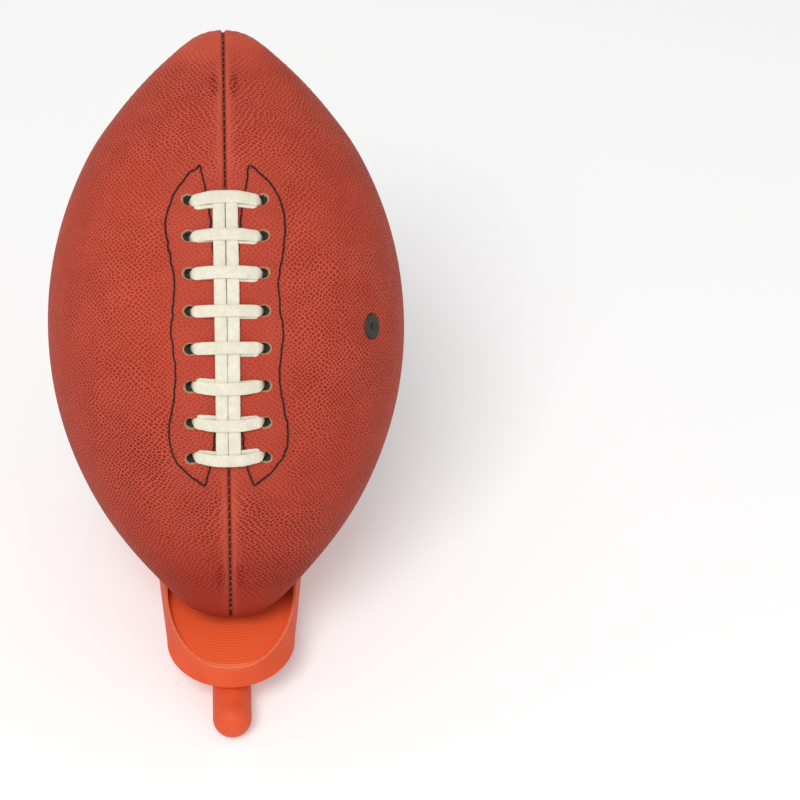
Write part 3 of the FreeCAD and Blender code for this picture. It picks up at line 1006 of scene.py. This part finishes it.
# %% Dish steps
STEP_RADIUS, STEP_SHIFT = 0.034, 0.0021  # of each arc, and from one to the next
STEP_FRONT = (NOSE[1] - 33.1) / 1000.0  # where the first arc begins, as in the solid
TREAD_HEIGHT, RIM_HEIGHT = (0.0205, 0.0215), (0.0293, 0.0296)
LEVEL = (0.9, 0.97)  # how level a face is to count as a tread

inside = maths(tree, "SUBTRACT", STEP_RADIUS ** 2, times(tree, place["X"], place["X"]))
bow = maths(tree, "SQRT", maths(tree, "MAXIMUM", inside, 0.0))
behind = maths(tree, "SUBTRACT", place["Y"], maths(tree, "SUBTRACT", STEP_FRONT + STEP_RADIUS, bow))
step = maths(tree, "FRACT", maths(tree, "DIVIDE", behind, STEP_SHIFT))
normal = add(tree, "ShaderNodeNewGeometry").outputs["Normal"]
level = ramp(tree, add(tree, "ShaderNodeSeparateXYZ", Vector=normal).outputs["Z"], *LEVEL)
# Painted light: the treads are painted a lighter orange.
lit_tread = times(tree, level, ramp(tree, place["Z"], *TREAD_HEIGHT))
# Painted highlight on the top face of the rim.
rim_highlight = times(tree, level, ramp(tree, place["Z"], *RIM_HEIGHT))
# Painted shade: a dark line in each step's inner corner.
corner_shade = times(tree, maths(tree, "SUBTRACT", 1.0, ramp(tree, step, 0.0, 0.62)), lit_tread)
tone = dye(tree, tone, (1.0, 0.145, 0.042), lit_tread, 0.85)
tone = dye(tree, tone, (0.98, 0.29, 0.15), rim_highlight, 0.6)
tone = dye(tree, tone, (0.36, 0.030, 0.009), corner_shade, 0.4)
wire(tree, shader.inputs["Base Color"], tone)
stand = ("cradle", "front_leg", "rear_leg_left", "rear_leg_right")
dress([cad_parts[name] for name in stand], printed)
print("plastic nodes with steps", len(tree.nodes))

# %% [markdown]
# ## Inner pieces
# Inside are cloth linings, a bladder and the backing patches. Almost nothing of them shows, so they keep
# their solids. A weave could be modelled thread by thread, but a fine checker of two tones is enough, and
# the bladder and patches take the valve's rubber.

# %% Inner pieces
cloth, tree, shader = new_material("lining_cloth", (0.62, 0.55, 0.44), 0.85)
weave = add(tree, "ShaderNodeTexChecker", Vector=object_place(tree), Scale=900.0).outputs["Fac"]
wire(tree, shader.inputs["Base Color"], mix_colour(tree, weave, (0.55, 0.48, 0.38), (0.66, 0.60, 0.49)))
linings = [node for name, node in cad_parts.items() if name.startswith("lining")]
dress(linings, cloth)
dress([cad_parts[name] for name in ("bladder", "facing_left", "facing_right")], rubber)
print("linings", len(linings))

# %% [markdown]
# ## Paper floor
# The object stands on white paper. A very bright floor would light the ball from below, and a grey one
# would look dull. So the paper glows only for rays from the camera, straight or by way of glass or gloss,
# and it still takes the shadow.

# %% Paper floor
FLOOR_HALF, FLOOR_DROP = 4, -0.0003  # metres; just under the feet, so that no faces share a place
PAPER_GLOW = 0.2


def seen_by_camera(tree):
    """1 for rays straight from the camera, or by way of glass or gloss; 0 for light that bounces."""
    ray = add(tree, "ShaderNodeLightPath").outputs
    seen = maths(tree, "ADD", ray["Is Camera Ray"], ray["Is Transmission Ray"])
    return maths(tree, "ADD", seen, ray["Is Glossy Ray"], True)


corners = [(x * FLOOR_HALF, y * FLOOR_HALF, FLOOR_DROP) for x, y in ((-1, -1), (1, -1), (1, 1), (-1, 1))]
floor = make_piece("floor", corners, [(0, 1, 2, 3)])
paper, tree, shader = new_material("paper", (0.91, 0.91, 0.91), 0.9, Specular_IOR_Level=0.0)
glow = add(tree, "ShaderNodeEmission", Strength=times(tree, seen_by_camera(tree), PAPER_GLOW))
both = add(tree, "ShaderNodeAddShader", i0=shader.outputs[0], i1=glow.outputs[0])
wire(tree, tree.nodes["Material Output"].inputs["Surface"], both.outputs[0])
dress([floor], paper)
print("floor", FLOOR_HALF * 2, "metres wide")

# %% [markdown]
# ## Light tent
# Around the paper is a white tent that fills the shadows evenly. Walls could be built for it, but the
# world's background is enough: one strength for the light that it gives, and a paler white where the
# camera sees it.

# %% Light tent
TENT_LIGHT = 0.45
BACKDROP = (0.95, 0.95, 0.95, 1)

world = bpy.data.worlds.new("tent")
bpy.context.scene.world = world
world.use_nodes = True
tree = world.node_tree
tent = tree.nodes["Background"]
tent.inputs["Color"].default_value = (1, 1, 1, 1)
tent.inputs["Strength"].default_value = TENT_LIGHT
backdrop = add(tree, "ShaderNodeBackground", Color=BACKDROP, Strength=1.0)
both = add(tree, "ShaderNodeMixShader", i0=seen_by_camera(tree), i1=tent.outputs[0], i2=backdrop.outputs[0])
wire(tree, tree.nodes["World Output"].inputs["Surface"], both.outputs[0])
print("tent light", TENT_LIGHT)

# %% [markdown]
# ## Lights
# The light is soft and comes from high on the left, as from a window. A sun lamp would cut a hard shadow.
# A large square area light gives a wide soft one, and a weak small one lifts the shade on the right.

# %% Lights
def soft_light(name, spot, aim, size, power):
    data = bpy.data.lights.new(name, "AREA")
    data.shape = "SQUARE"
    data.size = size
    data.energy = power
    lamp = bpy.data.objects.new(name, data)
    lamp.location = spot
    lamp.rotation_euler = (Vector(aim) - Vector(spot)).to_track_quat("-Z", "Y").to_euler()
    bpy.context.scene.collection.objects.link(lamp)
    return lamp


lamps = [soft_light("key", (-0.85, -2.15, 2.95), (0, 0, 0.1), 1.7, 80.0),
         soft_light("fill", (0.9, -1.6, 0.7), (0, 0, 0.05), 0.8, 3.0)]
print("lights", [lamp.name for lamp in lamps])

# %% [markdown]
# ## Camera
# The picture looks down on the ball, almost square to its long axis, with the ball left of the middle. A
# shifted lens would also move it there, but a camera turned aside draws the slight slant of a real one.
# So it is set before the ball's centre and swung until that centre falls on its pixel.

# %% Camera
ELEVATION = math.radians(39.0)
DISTANCE = 1.12  # metres from the ball's centre
HALF_FRAME = 0.1935  # metres seen from the middle to an edge, at that distance
HALF_PIXELS = 400
BALL_PIXEL = (227.0, 325.0)
TWIST = math.radians(-0.7)

toward = Vector((0, -math.cos(ELEVATION), math.sin(ELEVATION)))
upward = Vector((0, math.sin(ELEVATION), math.cos(ELEVATION)))
camera_data = bpy.data.cameras.new("camera")
camera_data.sensor_width = 36
camera_data.angle = 2 * math.atan(HALF_FRAME / DISTANCE)
camera = bpy.data.objects.new("camera", camera_data)
camera.location = Vector(CENTRE / 1000.0) + toward * DISTANCE
facing_ball = Matrix((Vector((1, 0, 0)), upward, toward)).transposed()
ball_way = Vector(((BALL_PIXEL[0] - HALF_PIXELS) / HALF_PIXELS * HALF_FRAME,
                   (HALF_PIXELS - BALL_PIXEL[1]) / HALF_PIXELS * HALF_FRAME, -DISTANCE))
swing = ball_way.rotation_difference(Vector((0, 0, -1))).to_matrix()
camera.rotation_euler = (facing_ball @ Matrix.Rotation(TWIST, 3, "Z") @ swing).to_euler()
bpy.context.scene.collection.objects.link(camera)
bpy.context.scene.camera = camera
bpy.context.scene.view_settings.view_transform = "Standard"
print("camera", tuple(round(v, 3) for v in camera.location))
